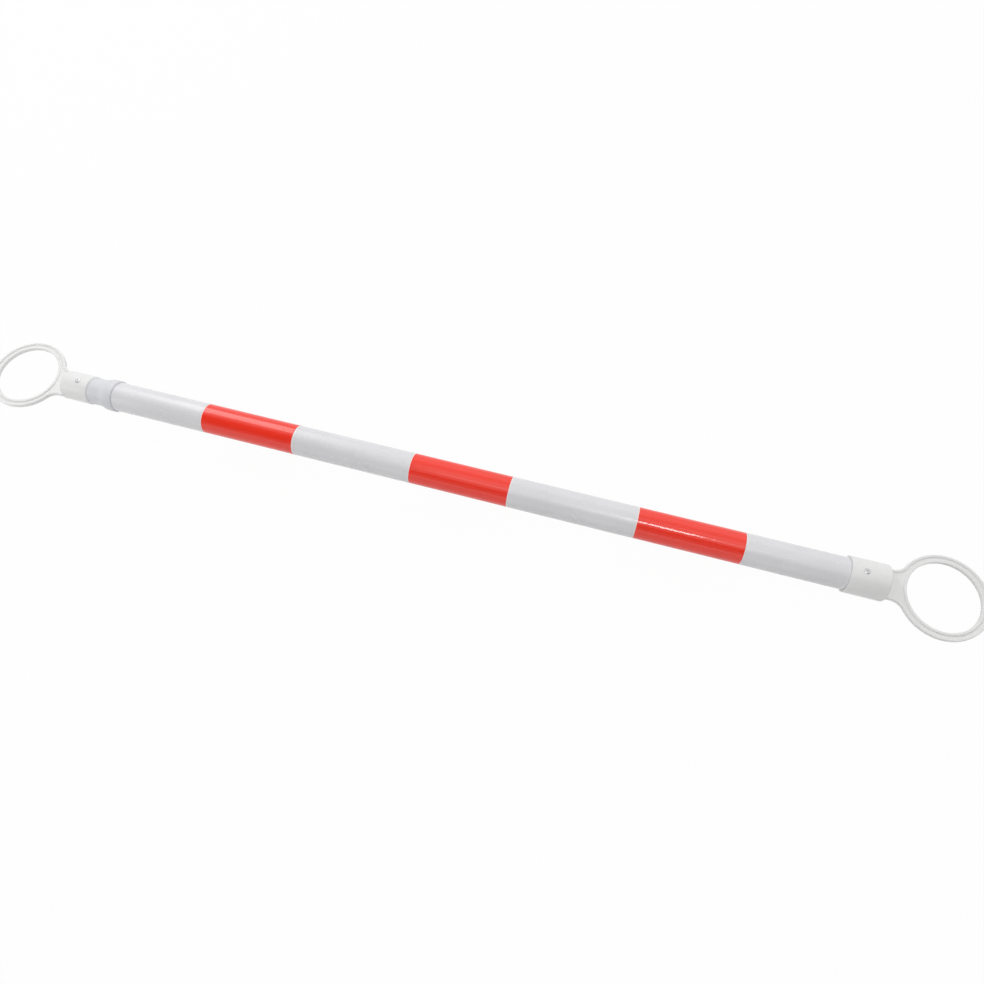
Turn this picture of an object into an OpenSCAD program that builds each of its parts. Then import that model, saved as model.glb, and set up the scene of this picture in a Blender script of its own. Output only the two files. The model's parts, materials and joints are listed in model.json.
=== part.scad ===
// Telescopic cone bar, pushed in. A striped outer tube carries a fixed ring end, and an inner
// tube carries a sliding ring end and draws out of it towards -X. The rings drop over the tops
// of two cones. X runs along the bar, Z is up and square to the rings, and the origin is the
// middle of the bar. All lengths are in millimetres.

/* [Outer tube] */
// Outside diameter of the outer tube
outer_tube_d = 33.6; // [30:0.1:42]
// Wall of the outer tube
outer_tube_wall = 1.5; // [1.2:0.1:2.5]
// Length of the outer tube
outer_tube_len = 877.2; // [780:0.1:1500]

/* [Inner tube] */
// Space between the two tubes, all round
tube_gap = 1; // [0.8:0.1:1.6]
// Wall of the inner tube
inner_tube_wall = 1.4; // [1:0.1:2.2]
// Outer tube left empty past the stop plug when the bar is pushed in
end_room = 40.7; // [38:0.1:120]

/* [Reflective sheets] */
// Length of a red sheet
red_len = 111; // [60:1:140]
// Spacing of the red sheets, middle to middle
red_pitch = 250; // [200:1:270]
// How far the middle red sheet lies from the middle of the bare tube, towards the fixed end
pattern_shift = 5.9; // [-20:0.1:20]
// Thickness of a sheet
sheet_t = 0.15; // [0.1:0.05:0.4]
// Glue under a sheet
sheet_glue = 0.05; // [0.02:0.01:0.1]
// Bare tube that shows between two sheets
sheet_seam = 1.4; // [0.4:0.1:4]
// Bare tube that shows between the end sheets and the collar or socket beside them
end_seam = 0.4; // [0.1:0.1:4]

/* [Collar] */
// Length of the narrow part round the inner tube
collar_waist_len = 14.8; // [8:0.1:25]
// Length of the slope between the narrow and the wide part
collar_slope_len = 7.5; // [5:0.1:15]
// Length of the wide part round the outer tube
collar_wide_len = 10.7; // [8:0.1:25]
// Wall of the narrow part
collar_waist_wall = 1.15; // [0.9:0.05:2]
// Wall of the wide part
collar_wide_wall = 1.65; // [1.2:0.05:3]
// Length of outer tube held in the collar
collar_grip = 10; // [7:0.5:20]
// Length of the guide ring at the bottom of the collar
guide_ring_len = 3; // [2:0.5:5]
// Bevel on the collar's edges
collar_bevel = 0.5; // [0.2:0.1:0.8]
// Gap between the collar and the sliding socket when the bar is pushed in
rest_gap = 0.3; // [0.2:0.1:5]

/* [Rings] */
// Diameter of a ring's hole
ring_hole_d = 72.5; // [60:0.5:90]
// Width of the rim round the hole
ring_inner_rim = 2.8; // [2:0.1:5]
// Width of the channel between the two rims
ring_channel = 2.85; // [2:0.05:6]
// Width of the outer rim
ring_outer_rim = 2.6; // [2:0.1:5]
// Height of the rims
ring_h = 4.5; // [3:0.1:9]
// Thickness of the web between the rims
ring_web = 2.1; // [1:0.1:2.8]
// Web between the fixed socket and the ring's inner rim
fixed_web_len = 17.55; // [8:0.05:40]
// Web between the sliding socket and the ring's inner rim
sliding_web_len = 16.85; // [8:0.05:40]
// Radius of the hollow curve between the ring and its neck
neck_fillet_r = 15; // [8:0.5:25]

/* [Sockets] */
// Wall of a socket
socket_wall = 2.3; // [1.8:0.1:4]
// Length of outer tube held in the fixed socket
fixed_socket_depth = 36.2; // [30:0.1:60]
// Length of inner tube held in the sliding socket
sliding_socket_depth = 32.3; // [28:0.1:60]
// Wall that closes a socket towards its ring
socket_end = 3; // [2:0.1:6]
// Bevel round a socket's closed end
socket_end_bevel = 1.2; // [0.4:0.1:1.8]
// Bevel at a socket's mouth
socket_bevel = 0.4; // [0.2:0.1:1.5]

/* [Rivets] */
// Diameter of a rivet's shank
rivet_d = 3.2; // [2.4:0.1:4]
// Diameter of a rivet's head
rivet_head_d = 6.2; // [5.4:0.1:8]
// Height of a rivet's head
rivet_head_h = 1.1; // [0.6:0.1:2]
// Diameter of the hole that the rivet's pin leaves in its head
rivet_pin_d = 1.9; // [1.2:0.1:2.2]
// Diameter of the set end inside the tube
rivet_bulb_d = 4.8; // [4:0.1:6]
// Length of the set end inside the tube
rivet_bulb_len = 2.2; // [1.5:0.1:4]
// Distance of the rivets from the socket's mouth
rivet_setback = 13.8; // [8:0.1:25]
// Depth of the flat that a rivet's head sits on
rivet_seat = 0.4; // [0.35:0.05:0.8]

/* [Stop plug] */
// Length of the plug inside the inner tube
plug_spigot_len = 24; // [12:1:40]
// Thickness of the stop flange
plug_flange_t = 3; // [2:0.5:6]
// Length of the tail between the flange and the bush
plug_tail_len = 45.6; // [20:0.1:80]
// Wall of the tail
plug_wall = 4.5; // [3:0.1:6]
// Thickness of the flange that holds the bush on the tail
plug_end_t = 3; // [2:0.5:6]
// Length of the guide bush
bush_len = 14; // [9:0.5:30]
// Wall of the bush under the brake ring
bush_wall = 2.2; // [1.5:0.1:3]
// Thickness of the brake ring
brake_d = 3.4; // [2.4:0.1:4]

/* [Fits] */
// Radial clearance where one piece slides in another
slide_fit = 0.25; // [0.1:0.05:0.4]
// Radial clearance where the plug turns in its bush
turn_fit = 0.1; // [0.05:0.01:0.2]
// Clearance of pieces that are pressed or glued together
press_fit = 0.05; // [0.02:0.01:0.1]
// Radial clearance of a tube in its socket
socket_fit = 0.1; // [0.05:0.01:0.2]
// End play between moving pieces
end_play = 0.3; // [0.1:0.05:0.5]

/* [Hidden] */
$fn = 96;
red_count = 3;
// How far a cut runs past the face that it opens
overrun = 1;
// How far the neck's hollow curve bites into the ring, so that the two cross cleanly
neck_bite = 0.05;
// How far the neck's edges lie under the sliding socket's surface where they run into it
neck_sink = 0.2;

// Radii of the tubes and of what goes round them
outer_r = outer_tube_d / 2;
outer_bore_r = outer_r - outer_tube_wall;
inner_r = outer_bore_r - tube_gap;
inner_bore_r = inner_r - inner_tube_wall;
sheet_r = outer_r + sheet_glue;
collar_bore_r = inner_r + slide_fit;
collar_waist_r = collar_bore_r + collar_waist_wall;
collar_cup_r = outer_r + press_fit;
collar_wide_r = collar_cup_r + collar_wide_wall;
fixed_socket_r = outer_r + socket_fit + socket_wall;
sliding_socket_r = inner_r + socket_fit + socket_wall;

// Sizes of the rings and necks
hole_r = ring_hole_d / 2;
inner_rim_r = hole_r + ring_inner_rim;
channel_r = inner_rim_r + ring_channel;
ring_r = channel_r + ring_outer_rim;
channel_depth = (ring_h - ring_web) / 2;
neck_half_w = sqrt(pow(sliding_socket_r - neck_sink, 2) - pow(ring_h / 2, 2));
fillet_reach = ring_r + neck_fillet_r - neck_bite;
fillet_y = neck_half_w + neck_fillet_r;
fillet_x = sqrt(pow(fillet_reach, 2) - pow(fillet_y, 2));
fixed_reach = inner_rim_r + fixed_web_len + socket_end + fixed_socket_depth;
sliding_reach = inner_rim_r + sliding_web_len + socket_end + sliding_socket_depth;

// Places along the bar, first from the outer tube's left end
collar_len = collar_waist_len + collar_slope_len + collar_wide_len;
sliding_ring_u = collar_grip - collar_len - rest_gap - sliding_reach;
fixed_ring_u = outer_tube_len - fixed_socket_depth + fixed_reach;

// Places along the bar, from its middle
fixed_ring_x = (fixed_ring_u - sliding_ring_u) / 2;
sliding_ring_x = -fixed_ring_x;
fixed_mouth_x = fixed_ring_x - fixed_reach;
sliding_mouth_x = sliding_ring_x + sliding_reach;
collar_x = sliding_mouth_x + rest_gap;
collar_end_x = collar_x + collar_len;
outer_tube_x = collar_end_x - collar_grip;
outer_tube_end_x = outer_tube_x + outer_tube_len;
bush_room = bush_len + 2 * end_play;
plug_out_len = plug_flange_t + plug_tail_len + bush_room + plug_end_t;
plug_x = outer_tube_end_x - end_room - plug_out_len;
inner_tube_x = sliding_mouth_x - sliding_socket_depth;
inner_tube_len = plug_x - inner_tube_x;
bush_x = plug_x + plug_flange_t + plug_tail_len + end_play;
pattern_x = (collar_end_x + fixed_mouth_x) / 2 + pattern_shift;

// Radii of the plug, its bush and the brake ring
brake_r = brake_d / 2;
brake_mid_r = outer_bore_r - press_fit - brake_r;
bush_r = outer_bore_r - slide_fit;
bush_groove_r = brake_mid_r - brake_r - press_fit;
bush_bore_r = bush_groove_r - bush_wall;
plug_seat_r = bush_bore_r - turn_fit;
plug_bore_r = plug_seat_r - plug_wall;
plug_tail_r = (plug_seat_r + bush_groove_r) / 2;

// How far the bar draws out before the plug's flange meets the guide ring
travel = plug_x - outer_tube_x - end_play;
echo(travel = travel, fixed_ring_x = fixed_ring_x, outer_tube_x = outer_tube_x);

// Turns a shape so that its own Z runs along the bar from a place x
module along_bar(x) {
    translate([x, 0, 0]) rotate([0, 90, 0]) children();
}

// A plain tube along the bar
module tube(x, len, r, bore_r) {
    along_bar(x) difference() {
        cylinder(h = len, r = r);
        translate([0, 0, -overrun]) cylinder(h = len + 2 * overrun, r = bore_r);
    }
}

// Two holes, above and below, that rivets go through
module rivet_holes(x, reach) {
    translate([x, 0, 0]) cylinder(h = 2 * reach, r = rivet_d / 2 + press_fit, center = true);
}

// One blind rivet, set through a socket and the tube in it, with its head on +Z
module rivet(socket_r, bore_r) {
    head_z = socket_r - rivet_seat;
    bulb_z = sqrt(pow(bore_r, 2) - pow(rivet_bulb_d / 2, 2));
    head_r = rivet_head_d / 2;
    pin_r = rivet_pin_d / 2;
    rotate_extrude() polygon([
        [0, bulb_z - rivet_bulb_len],
        [rivet_d / 2, bulb_z - rivet_bulb_len],
        [rivet_bulb_d / 2, bulb_z - rivet_bulb_len / 2],
        [rivet_bulb_d / 2, bulb_z],
        [rivet_d / 2, bulb_z],
        [rivet_d / 2, head_z],
        [head_r, head_z],
        [head_r, head_z + rivet_head_h / 2],
        [(head_r + pin_r) / 2, head_z + rivet_head_h],
        [pin_r, head_z + rivet_head_h],
        [pin_r, head_z],
        [0, head_z]
    ]);
}

// The rivets of one socket, above and below
module rivet_pair(x, socket_r, bore_r) {
    for (turn = [0, 180])
        translate([x, 0, 0]) rotate([turn, 0, 0]) rivet(socket_r, bore_r);
}

// The neck's outline, drawn from the ring to a place x, with a margin taken off its sides
module neck_block(x, h, margin) {
    start_share = (ring_r - margin - neck_bite / 2) / fillet_reach;
    start_x = fillet_x * start_share;
    start_y = fillet_y * start_share;
    side_y = neck_half_w - margin;
    cut_w = fillet_y - side_y;
    cut_h = h + 2 * overrun;
    difference() {
        translate([start_x, -start_y, -h / 2]) cube([x - start_x, 2 * start_y, h]);
        for (side = [-1, 1]) {
            translate([fillet_x, side * fillet_y, 0])
                cylinder(h = cut_h, r = neck_fillet_r + margin, center = true);
            translate([fillet_x, side * (fillet_y + side_y) / 2 - cut_w / 2, -cut_h / 2])
                cube([x, cut_w, cut_h]);
        }
    }
}

// Ring and neck in the ring's own frame: two rims with a channel between them on both faces
module ring_and_neck(neck_end) {
    difference() {
        union() {
            cylinder(h = ring_h, r = ring_r, center = true);
            neck_block(neck_end, ring_h, 0);
        }
        cylinder(h = ring_h + 2 * overrun, r = hole_r, center = true);
        for (side = [-1, 1])
            translate([0, 0, side * (ring_web + channel_depth + overrun) / 2])
                difference() {
                    union() {
                        cylinder(h = channel_depth + overrun, r = channel_r, center = true);
                        neck_block(neck_end + overrun, channel_depth + overrun, ring_outer_rim);
                    }
                    cylinder(h = ring_h, r = inner_rim_r, center = true);
                }
    }
}

// The outside of a socket, from its closed end to its mouth along its own Z
module socket_outside(r, len) {
    rotate_extrude() polygon([
        [0, 0],
        [r - socket_end_bevel, 0],
        [r, socket_end_bevel],
        [r, len - socket_bevel],
        [r - socket_bevel, len],
        [0, len]
    ]);
}

// A moulded ring end, with its ring's middle at the origin and its socket along +X
module ring_end(tube_r, depth, web_len) {
    bore_r = tube_r + socket_fit;
    socket_r = bore_r + socket_wall;
    end_x = inner_rim_r + web_len;
    seat_x = end_x + socket_end;
    rivet_x = seat_x + depth - rivet_setback;
    difference() {
        union() {
            ring_and_neck(end_x + (socket_end + socket_end_bevel) / 2);
            along_bar(end_x) socket_outside(socket_r, socket_end + depth);
        }
        along_bar(seat_x) cylinder(h = depth + overrun, r = bore_r);
        rivet_holes(rivet_x, socket_r);
        for (turn = [0, 180])
            translate([rivet_x, 0, 0]) rotate([turn, 0, 0])
                translate([0, 0, socket_r - rivet_seat])
                    cylinder(h = rivet_seat + overrun, r = rivet_head_d / 2 + press_fit);
    }
}

// One wrapped sheet, from one place on the outer tube to another
module sheet(from_x, to_x) {
    tube(from_x, to_x - from_x, sheet_r + sheet_t, sheet_r);
}

function red_x(i) = pattern_x + (i - (red_count - 1) / 2) * red_pitch - red_len / 2;
function white_from_x(i) = i == 0 ? collar_end_x + end_seam : red_x(i - 1) + red_len + sheet_seam;
function white_to_x(i) = i == red_count ? fixed_mouth_x - end_seam : red_x(i) - sheet_seam;

module red_sheet(i) {
    color("crimson") sheet(red_x(i), red_x(i) + red_len);
}

module white_sheet(i) {
    color("gainsboro") sheet(white_from_x(i), white_to_x(i));
}

module outer_tube() {
    color("white") difference() {
        tube(outer_tube_x, outer_tube_len, outer_r, outer_bore_r);
        rivet_holes(fixed_mouth_x + rivet_setback, outer_r);
    }
}

module inner_tube() {
    color("whitesmoke") difference() {
        tube(inner_tube_x, inner_tube_len, inner_r, inner_bore_r);
        rivet_holes(sliding_mouth_x - rivet_setback, inner_r);
    }
}

module reducing_collar() {
    slope_z = collar_waist_len + collar_slope_len;
    cup_z = collar_len - collar_grip - guide_ring_len;
    color("lightsteelblue") along_bar(collar_x) rotate_extrude() polygon([
        [collar_bore_r, 0],
        [collar_waist_r - collar_bevel, 0],
        [collar_waist_r, collar_bevel],
        [collar_waist_r, collar_waist_len],
        [collar_wide_r, slope_z],
        [collar_wide_r, collar_len - collar_bevel],
        [collar_wide_r - collar_bevel, collar_len],
        [collar_cup_r, collar_len],
        [collar_cup_r, cup_z],
        [collar_bore_r, cup_z]
    ]);
}

module collar_guide_ring() {
    color("ivory") tube(outer_tube_x - guide_ring_len, guide_ring_len, outer_r, collar_bore_r);
}

module fixed_ring_end() {
    color("white") translate([fixed_ring_x, 0, 0]) rotate([0, 0, 180])
        ring_end(outer_r, fixed_socket_depth, fixed_web_len);
}

module sliding_ring_end() {
    color("white") translate([sliding_ring_x, 0, 0])
        ring_end(inner_r, sliding_socket_depth, sliding_web_len);
}

module fixed_end_rivets() {
    color("silver") rivet_pair(fixed_mouth_x + rivet_setback, fixed_socket_r, outer_bore_r);
}

module sliding_end_rivets() {
    color("silver") rivet_pair(sliding_mouth_x - rivet_setback, sliding_socket_r, inner_bore_r);
}

module stop_plug() {
    spigot_r = inner_bore_r - press_fit;
    seat_z = plug_flange_t + plug_tail_len;
    end_z = seat_z + bush_room;
    color("dimgray") along_bar(plug_x) rotate_extrude() polygon([
        [plug_bore_r, -plug_spigot_len],
        [spigot_r, -plug_spigot_len],
        [spigot_r, 0],
        [bush_r, 0],
        [bush_r, plug_flange_t],
        [plug_tail_r, plug_flange_t],
        [plug_tail_r, seat_z],
        [plug_seat_r, seat_z],
        [plug_seat_r, end_z],
        [bush_groove_r, end_z],
        [bush_groove_r, end_z + plug_end_t],
        [plug_bore_r, end_z + plug_end_t]
    ]);
}

module guide_bush() {
    groove_half = brake_r + press_fit;
    color("ivory") along_bar(bush_x) rotate_extrude() polygon([
        [bush_bore_r, 0],
        [bush_r, 0],
        [bush_r, bush_len / 2 - groove_half],
        [bush_groove_r, bush_len / 2 - groove_half],
        [bush_groove_r, bush_len / 2 + groove_half],
        [bush_r, bush_len / 2 + groove_half],
        [bush_r, bush_len],
        [bush_bore_r, bush_len]
    ]);
}

module brake_ring() {
    color("black") along_bar(bush_x + bush_len / 2)
        rotate_extrude() translate([brake_mid_r, 0]) circle(r = brake_r);
}

outer_tube();
white_sheet(0);  // white_sheet_1
white_sheet(1);  // white_sheet_2
white_sheet(2);  // white_sheet_3
white_sheet(3);  // white_sheet_4
red_sheet(0);  // red_sheet_1
red_sheet(1);  // red_sheet_2
red_sheet(2);  // red_sheet_3
reducing_collar();
collar_guide_ring();
fixed_ring_end();
fixed_end_rivets();
guide_bush();
brake_ring();
stop_plug();
inner_tube();
sliding_ring_end();
sliding_end_rivets();
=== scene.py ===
"""Looks of a telescopic cone bar, modelled around the frame of its construction, in metres."""

import json
import math

import bmesh
import bpy
from bpy.props import FloatProperty, FloatVectorProperty, PointerProperty
from mathutils import Euler, Matrix, Quaternion, Vector


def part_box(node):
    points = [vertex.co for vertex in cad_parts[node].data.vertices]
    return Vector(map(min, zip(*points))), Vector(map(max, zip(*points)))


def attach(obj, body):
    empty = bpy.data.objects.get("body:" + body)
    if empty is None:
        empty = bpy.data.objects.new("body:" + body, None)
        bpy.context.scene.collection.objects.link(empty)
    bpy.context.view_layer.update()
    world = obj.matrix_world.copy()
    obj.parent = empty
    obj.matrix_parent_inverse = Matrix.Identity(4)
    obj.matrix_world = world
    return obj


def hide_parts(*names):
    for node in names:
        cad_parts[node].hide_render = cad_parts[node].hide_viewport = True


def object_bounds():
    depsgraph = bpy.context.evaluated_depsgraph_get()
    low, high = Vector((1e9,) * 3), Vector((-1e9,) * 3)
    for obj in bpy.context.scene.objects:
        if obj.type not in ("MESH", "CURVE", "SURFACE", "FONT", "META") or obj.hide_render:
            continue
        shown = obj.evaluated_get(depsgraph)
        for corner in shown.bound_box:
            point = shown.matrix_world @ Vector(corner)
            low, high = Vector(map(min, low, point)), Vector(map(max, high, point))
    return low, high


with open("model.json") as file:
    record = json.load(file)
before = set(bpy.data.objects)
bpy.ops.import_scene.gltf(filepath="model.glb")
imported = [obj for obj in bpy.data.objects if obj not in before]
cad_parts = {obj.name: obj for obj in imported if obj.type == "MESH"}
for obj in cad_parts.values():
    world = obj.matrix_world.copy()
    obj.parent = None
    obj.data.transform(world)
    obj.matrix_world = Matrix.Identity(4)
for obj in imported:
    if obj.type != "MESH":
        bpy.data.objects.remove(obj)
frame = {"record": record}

bl_info = {
    "name": "Cone bar",
    "version": (1, 0, 0),
    "blender": (4, 5, 0),
    "location": "View3D > Sidebar > Cone bar",
    "description": "Builds the finished pieces of a telescopic cone bar and a pale studio around it",
    "category": "Add Mesh",
}

# What the frame says
CAD_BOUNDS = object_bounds()
RECORD = frame["record"]
BODY_OF = {node: body for body, nodes in RECORD["behaviour"]["bodies"].items() for node in nodes}
SLOT_OF = {part["node"]: part["material_slot"] for part in RECORD["subparts"]}
RING_MOUNT = {mount["name"]: mount for mount in RECORD["mounts"]}

# Units and directions
MILLIMETRE = 0.001
AXIS = (1.0, 0.0, 0.0)
UPRIGHT = (0.0, 0.0, 1.0)
ORIGIN = (0.0, 0.0, 0.0)

# How finely round shapes are divided
TURN_STEPS = 128
RING_STEPS = 72
RIVET_STEPS = 48
CORD_STEPS = 24
FILLET_STEPS = 14
LAP_STEPS = 8
ROUND_SEGMENTS = 3
SOCKET_END_SEGMENTS = 5
SLOPE_SEGMENTS = 6

# What counts as sharp, as a slope, as one place, and as too thin a face
SHARP_ANGLE = math.radians(32)
SLOPE_ANGLE = math.radians(10)
MERGE_DISTANCE = 1e-7
NEEDLE_WIDTH = 1e-6


def length(name, description, default):
    """A length that a user may change, in metres."""
    return FloatProperty(
        name=name, description=description, default=default, min=0.0, precision=5, unit="LENGTH"
    )


def colour(name, description, default):
    """A colour that a user may change."""
    return FloatVectorProperty(
        name=name, description=description, default=default, min=0.0, max=1.0, size=3, subtype="COLOR"
    )


def radiance(name, description, default):
    """The brightness of a lamp's face, where 1 shows as white."""
    return FloatProperty(name=name, description=description, default=default, min=0.0)


class ConeBarSizes(bpy.types.PropertyGroup):
    """Sizes that the boxes of the frame don't give"""

    outer_wall: length("Outer tube wall", "Wall of the striped tube", 0.0015)
    inner_wall: length("Inner tube wall", "Wall of the tube that draws out", 0.0014)
    film_thickness: length("Film thickness", "Thickness of the reflective film", 0.00015)
    film_lap: length("Film lap", "How far a film's end laps over its start, underneath", 0.008)
    film_glue: length("Film glue", "Glue between the two layers of a lap", 0.00002)
    collar_waist_length: length("Collar waist", "Length of the collar's narrow part", 0.0148)
    collar_slope_length: length("Collar slope", "Length of the slope to its wide part", 0.0075)
    collar_waist_d: length("Collar waist diameter", "Outside diameter of the narrow part", 0.0314)
    collar_bore_d: length("Collar bore", "Hole that the inner tube slides in", 0.0291)
    collar_slope_round: length("Slope rounding", "Rounding at both ends of the slope", 0.0032)
    collar_lip_round: length("Lip rounding", "Rounding of the collar's wide end", 0.0012)
    collar_reach: length("Collar reach", "Narrow end past its solid, towards the socket", 0.0002)
    inner_rim: length("Inner rim", "Width of the rim round a ring's hole", 0.0028)
    outer_rim: length("Outer rim", "Width of a ring's outer rim", 0.0026)
    ring_web: length("Ring web", "Thickness of the web between the rims", 0.0021)
    neck_fillet: length("Neck curve", "Radius of the hollow curve from a ring to its neck", 0.015)
    neck_sink: length("Neck sink", "How far the neck's edges lie under the thinner socket", 0.0002)
    neck_spare: length("Neck spare", "Length of neck that is drawn first and then cut off", 0.0078)
    socket_end: length("Socket end", "Wall that closes a socket towards its ring", 0.003)
    socket_end_round: length("Socket end rounding", "Rounding of a socket's closed end", 0.0018)
    fixed_bevel: length("Fixed socket bevel", "Bevel at the fixed socket's mouth", 0.0003)
    sliding_bevel: length("Sliding socket bevel", "Bevel at the sliding socket's mouth", 0.0007)
    socket_wall: length("Socket wall", "Wall of a socket round its tube", 0.0023)
    moulded_round: length("Moulded rounding", "Rounding of the moulded rims", 0.00055)
    turned_round: length("Turned rounding", "Rounding of cut and turned edges", 0.00025)
    rivet_head_d: length("Rivet head", "Diameter of a rivet's head", 0.0062)
    rivet_head_h: length("Rivet head height", "Height of a rivet's head", 0.0011)
    rivet_pin_d: length("Rivet pin hole", "Hole that the pin leaves in the head", 0.0019)
    rivet_shank_d: length("Rivet shank", "Diameter of a rivet's shank", 0.0032)
    rivet_bulb_d: length("Rivet bulb", "Diameter of the set end", 0.0048)
    rivet_bulb_length: length("Rivet bulb length", "Length of the set end", 0.0022)
    rivet_grip: length("Rivet grip", "Walls that a rivet holds together", 0.0037)
    plug_spigot_d: length("Plug spigot", "Diameter of the plug inside the inner tube", 0.0257)
    plug_bore_d: length("Plug bore", "Hole along the plug", 0.01)
    plug_tail_d: length("Plug tail", "Diameter of the plug's tail", 0.0213)
    plug_flange: length("Plug flange", "Thickness of the stop flange", 0.003)
    bush_bore_d: length("Bush bore", "Hole of the guide bush", 0.0192)
    bush_groove_d: length("Bush groove", "Bottom of the brake ring's groove, and the plug's end", 0.0236)
    end_play: length("End play", "Play of the bush along the plug", 0.0003)
    turn_fit: length("Turn fit", "Clearance of the plug in the bush", 0.0001)


class ConeBarColours(bpy.types.PropertyGroup):
    """Colours of the finishes"""

    tube_white: colour("Tube white", "Extruded white tube", (0.84, 0.84, 0.845))
    film_white: colour("White film", "White reflective film", (0.748, 0.745, 0.765))
    film_red: colour("Red film", "Red reflective film", (0.95, 0.029, 0.009))
    moulded_white: colour("Moulded white", "Rings and sockets", (0.82, 0.82, 0.815))
    collar_grey: colour("Collar grey", "Bluish grey collar", (0.712, 0.716, 0.747))
    bearing_ivory: colour("Bearing ivory", "Bush and guide ring", (0.74, 0.70, 0.57))
    plug_grey: colour("Plug grey", "Stop plug", (0.10, 0.10, 0.11))
    brake_black: colour("Brake black", "Rubber brake ring", (0.018, 0.018, 0.018))
    rivet_metal: colour("Rivet metal", "Blind rivets", (0.62, 0.62, 0.63))
    floor: colour("Floor", "Pale studio floor", (0.81, 0.81, 0.805))


class ConeBarStudio(bpy.types.PropertyGroup):
    """Light and camera of the studio"""

    overhead: radiance("Overhead panel", "Panel above the bar", 0.4)
    back: radiance("Back panel", "Panel behind the bar", 0.3)
    side: radiance("Side panel", "Bright panel behind the left end", 2.2)
    side_glow: radiance("Side glow", "Softer light round the side panel", 0.85)
    left_fill: radiance("Left fill", "Low panel in front of the left end", 1.7)
    front_fill: radiance("Front fill", "Wide weak panel low in front", 0.18)
    strip: radiance("Strip lamp", "Narrow lamp above the right half", 0.8)
    spot: radiance("Small softbox", "Small bright softbox in the strip", 12.0)
    surround: radiance("Surround", "Light from all round", 0.77)
    floor_white: FloatProperty(
        name="White floor", description="Share of plain white in what the camera sees of the floor",
        default=0.965, min=0.0, max=1.0, subtype="FACTOR",
    )
    camera_place: FloatVectorProperty(
        name="Camera place", description="Where the camera stands",
        default=(0.1664, -0.30435, 0.71218), size=3, precision=5, subtype="XYZ", unit="LENGTH",
    )
    camera_target: FloatVectorProperty(
        name="Camera target", description="What the camera looks at",
        default=(0.05703, -0.00524, 0.0), size=3, precision=5, subtype="XYZ", unit="LENGTH",
    )
    camera_roll: FloatProperty(
        name="Camera roll", description="Turn of the camera about its own line of sight",
        default=math.radians(-4.703), subtype="ANGLE",
    )
    camera_lens: FloatProperty(
        name="Lens", description="Focal length in millimetres on a 36 mm frame", default=26.184
    )


# Node trees


def add_node(tree, kind, inputs=None, **settings):
    """Adds a node, sets it up, and links or sets its named inputs."""
    node = tree.nodes.new(kind)
    for key, value in settings.items():
        setattr(node, key, value)
    for key, value in (inputs or {}).items():
        if isinstance(value, bpy.types.NodeSocket):
            tree.links.new(value, node.inputs[key])
        else:
            node.inputs[key].default_value = value
    return node


def object_place(tree):
    """Object coordinates, which a pattern on a piece follows."""
    return add_node(tree, "ShaderNodeTexCoord").outputs["Object"]


def noise(tree, place, scale, detail):
    """Cloudy noise, about one half."""
    inputs = {"Vector": place, "Scale": scale, "Detail": detail}
    return add_node(tree, "ShaderNodeTexNoise", inputs).outputs["Fac"]


def spread(tree, value, low, high, start=0.0, end=1.0):
    """A value from low to high, spread out from start to end and held there."""
    inputs = {"Value": value, "From Min": low, "From Max": high, "To Min": start, "To Max": end}
    return add_node(tree, "ShaderNodeMapRange", inputs).outputs["Result"]


def worked_out(tree, operation, *values, use_clamp=False):
    """A value worked out from others by one operation."""
    inputs = dict(enumerate(values))
    node = add_node(tree, "ShaderNodeMath", inputs, operation=operation, use_clamp=use_clamp)
    return node.outputs["Value"]


def mixed(tree, mask, under, over):
    """One colour over another by a mask."""
    inputs = {"Factor": mask, "A": under, "B": over}
    return add_node(tree, "ShaderNodeMix", inputs, data_type="RGBA").outputs["Result"]


def bumped(tree, height, distance, strength=1.0, under=None):
    """A normal that follows a height, over another normal where one is given."""
    inputs = {"Height": height, "Distance": distance, "Strength": strength}
    if under is not None:
        inputs["Normal"] = under
    return add_node(tree, "ShaderNodeBump", inputs).outputs["Normal"]


# Shared effects


def new_group(name, inputs, outputs):
    """An empty shader group with named sockets: its tree, its input sockets and its output sockets."""
    tree = bpy.data.node_groups.new(name, "ShaderNodeTree")
    for socket_name, kind, default in inputs:
        socket = tree.interface.new_socket(name=socket_name, in_out="INPUT", socket_type=kind)
        socket.default_value = default
    for socket_name, kind in outputs:
        tree.interface.new_socket(name=socket_name, in_out="OUTPUT", socket_type=kind)
    return tree, tree.nodes.new("NodeGroupInput").outputs, tree.nodes.new("NodeGroupOutput").inputs


def grain_group(name):
    """Noise with one scale along the bar and another across it, as a height and as a roughness."""
    tree, given, result = new_group(
        name,
        [("Along", "NodeSocketFloat", 500.0), ("Across", "NodeSocketFloat", 500.0),
         ("Smooth", "NodeSocketFloat", 0.3), ("Rough", "NodeSocketFloat", 0.5)],
        [("Height", "NodeSocketFloat"), ("Roughness", "NodeSocketFloat")],
    )
    scales = {"X": given["Along"], "Y": given["Across"], "Z": given["Across"]}
    scale = add_node(tree, "ShaderNodeCombineXYZ", scales).outputs["Vector"]
    stretch = {0: object_place(tree), 1: scale}
    place = add_node(tree, "ShaderNodeVectorMath", stretch, operation="MULTIPLY").outputs["Vector"]
    height = noise(tree, place, 1.0, 4.0)
    roughness = spread(tree, height, 0.3, 0.7, given["Smooth"], given["Rough"])
    tree.links.new(height, result["Height"])
    tree.links.new(roughness, result["Roughness"])
    return tree


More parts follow.
